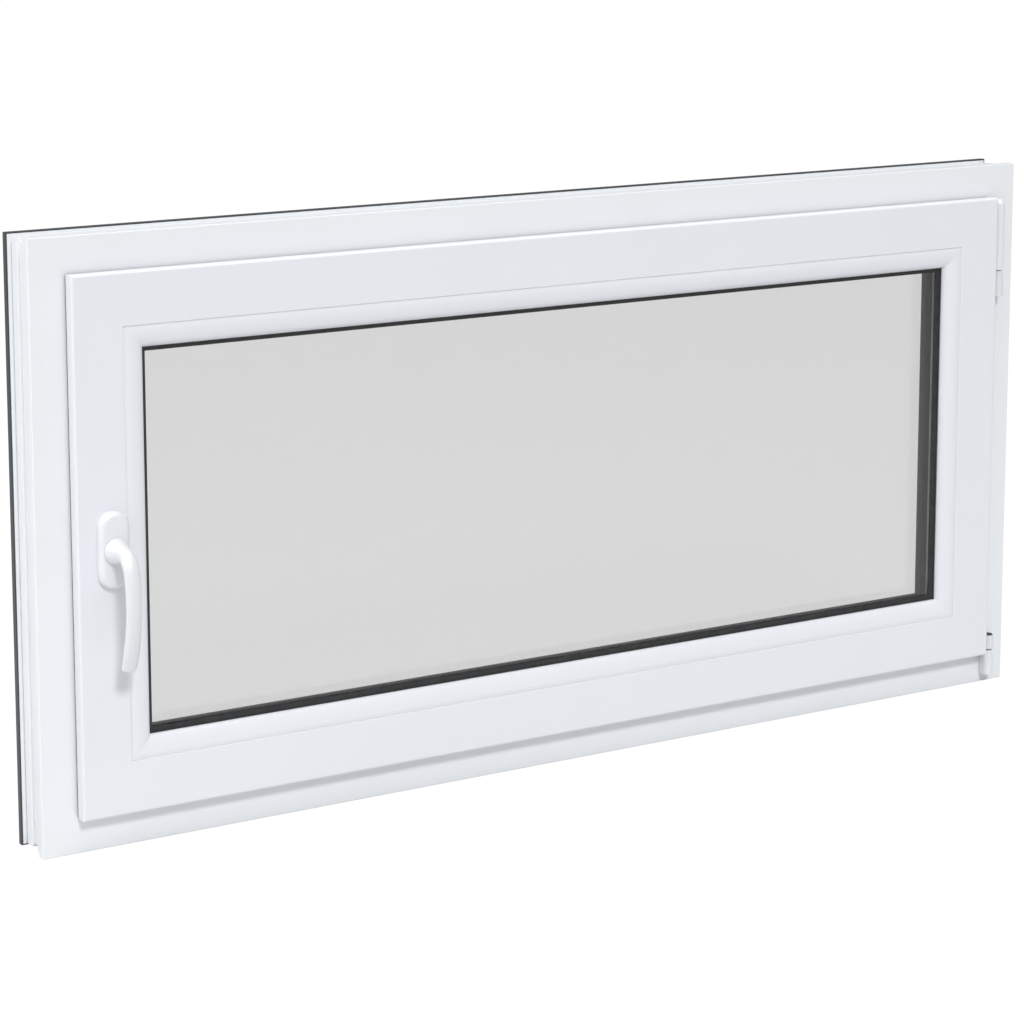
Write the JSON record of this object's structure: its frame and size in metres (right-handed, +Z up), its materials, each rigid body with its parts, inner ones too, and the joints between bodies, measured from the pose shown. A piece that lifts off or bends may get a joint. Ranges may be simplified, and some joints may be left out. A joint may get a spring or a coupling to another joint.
{
  "type": "casement window",
  "caption": "Rectangular tilt-and-turn casement window: white plastic outer frame, glazed sash hung on the right, hidden edge hardware and a curved lever handle.",
  "frame": {"origin": "middle of the frame's bottom edge, on the flat room-side flange, 4.5 mm behind the frame's room face", "axes": "+X to the right seen from the room, +Y outdoors through the wall, +Z up"},
  "size_m": [1.2, 0.1328, 0.6],
  "materials": {
    "white_pvc": "satin white PVC indoors, anthracite foil on the outdoor faces",
    "white_coat": "white powder coat",
    "white_cap": "moulded white plastic",
    "zinc_steel": "zinc-plated steel",
    "black_rubber": "matte extruded rubber",
    "black_seal": "matte sealant",
    "black_plastic": "moulded anthracite plastic",
    "clear_glass": "clear float glass",
    "spacer_metal": "dark anodised spacer bar",
    "packer_plastic": "moulded packer"
  },
  "bodies": {
    "frame": {"frame_bar_left": "white_pvc", "frame_core_left": "zinc_steel", "frame_bar_right": "white_pvc", "frame_core_right": "zinc_steel", "frame_bar_bottom": "white_pvc", "frame_core_bottom": "zinc_steel", "frame_bar_top": "white_pvc", "frame_core_top": "zinc_steel", "frame_gasket": "black_rubber", "drain_cap_left": "black_plastic", "drain_cap_right": "black_plastic", "keep_left_upper": "zinc_steel", "keep_left_lower": "zinc_steel", "keep_top": "zinc_steel", "keep_bottom": "zinc_steel", "corner_bearing": "white_coat", "corner_bearing_cap": "white_cap", "stay_bearing": "white_coat", "stay_bearing_pin": "zinc_steel"},
    "pivot": {"corner_pivot_pin": "zinc_steel"},
    "stay": {"stay_arm": "zinc_steel", "stay_cover": "white_cap"},
    "sash": {"sash_bar_left": "white_pvc", "sash_core_left": "zinc_steel", "bead_left": "white_pvc", "sash_bar_right": "white_pvc", "sash_core_right": "zinc_steel", "bead_right": "white_pvc", "sash_bar_bottom": "white_pvc", "sash_core_bottom": "zinc_steel", "bead_bottom": "white_pvc", "sash_bar_top": "white_pvc", "sash_core_top": "zinc_steel", "bead_top": "white_pvc", "pane_inner": "clear_glass", "pane_outer": "clear_glass", "spacer_frame": "spacer_metal", "edge_seal": "black_seal", "glazing_gasket_inner": "black_rubber", "glazing_gasket_outer": "black_rubber", "overlap_gasket": "black_rubber", "setting_block_left": "packer_plastic", "setting_block_right": "packer_plastic", "corner_strap": "white_coat", "faceplate_left": "zinc_steel", "faceplate_top": "zinc_steel", "faceplate_bottom": "zinc_steel", "corner_drive_bottom": "zinc_steel", "corner_drive_top": "zinc_steel", "gearbox": "zinc_steel", "rosette_base": "white_cap", "rosette_cover": "white_cap", "handle_screw_lower": "zinc_steel", "handle_screw_upper": "zinc_steel"},
    "handle": {"handle_lever": "white_coat", "handle_spindle": "zinc_steel", "drive_pinion": "zinc_steel"},
    "rod_left": {"drive_rod_left": "zinc_steel"},
    "rod_top": {"drive_rod_top": "zinc_steel"},
    "rod_bottom": {"drive_rod_bottom": "zinc_steel"}
  },
  "joints": [
    {"name": "turn", "type": "hinge", "parent": "frame", "child": "pivot", "pos_m": [0.572, -0.0135, 0.036], "axis": [0, 0, 1], "range_deg": [0, 90]},
    {"name": "tilt", "type": "hinge", "parent": "pivot", "child": "sash", "pos_m": [0.572, -0.0135, 0.036], "axis": [1, 0, 0], "range_deg": [0, 9]},
    {"name": "stay_swing", "type": "hinge", "parent": "pivot", "child": "stay", "pos_m": [0.572, -0.0135, 0.5], "axis": [0, 0, 1], "range_deg": [0, 14.2]},
    {"name": "handle_turn", "type": "hinge", "parent": "sash", "child": "handle", "pos_m": [-0.529, -0.0215, 0.3], "axis": [0, -1, 0], "range_deg": [0, 180]},
    {"name": "rod_left_slide", "type": "slide", "parent": "sash", "child": "rod_left", "axis": [0, 0, -1], "range_m": [0, 0.0315]},
    {"name": "rod_top_slide", "type": "slide", "parent": "sash", "child": "rod_top", "axis": [-1, 0, 0], "range_m": [0, 0.0315]},
    {"name": "rod_bottom_slide", "type": "slide", "parent": "sash", "child": "rod_bottom", "axis": [1, 0, 0], "range_m": [0, 0.0315]}
  ],
  "couplings": [
    {"joint": "stay_swing", "follows": "tilt", "ratio": 1.5644},
    {"joint": "rod_left_slide", "follows": "handle_turn", "m_per_rad": 0.01},
    {"joint": "rod_top_slide", "follows": "handle_turn", "m_per_rad": 0.01},
    {"joint": "rod_bottom_slide", "follows": "handle_turn", "m_per_rad": 0.01}
  ]
}
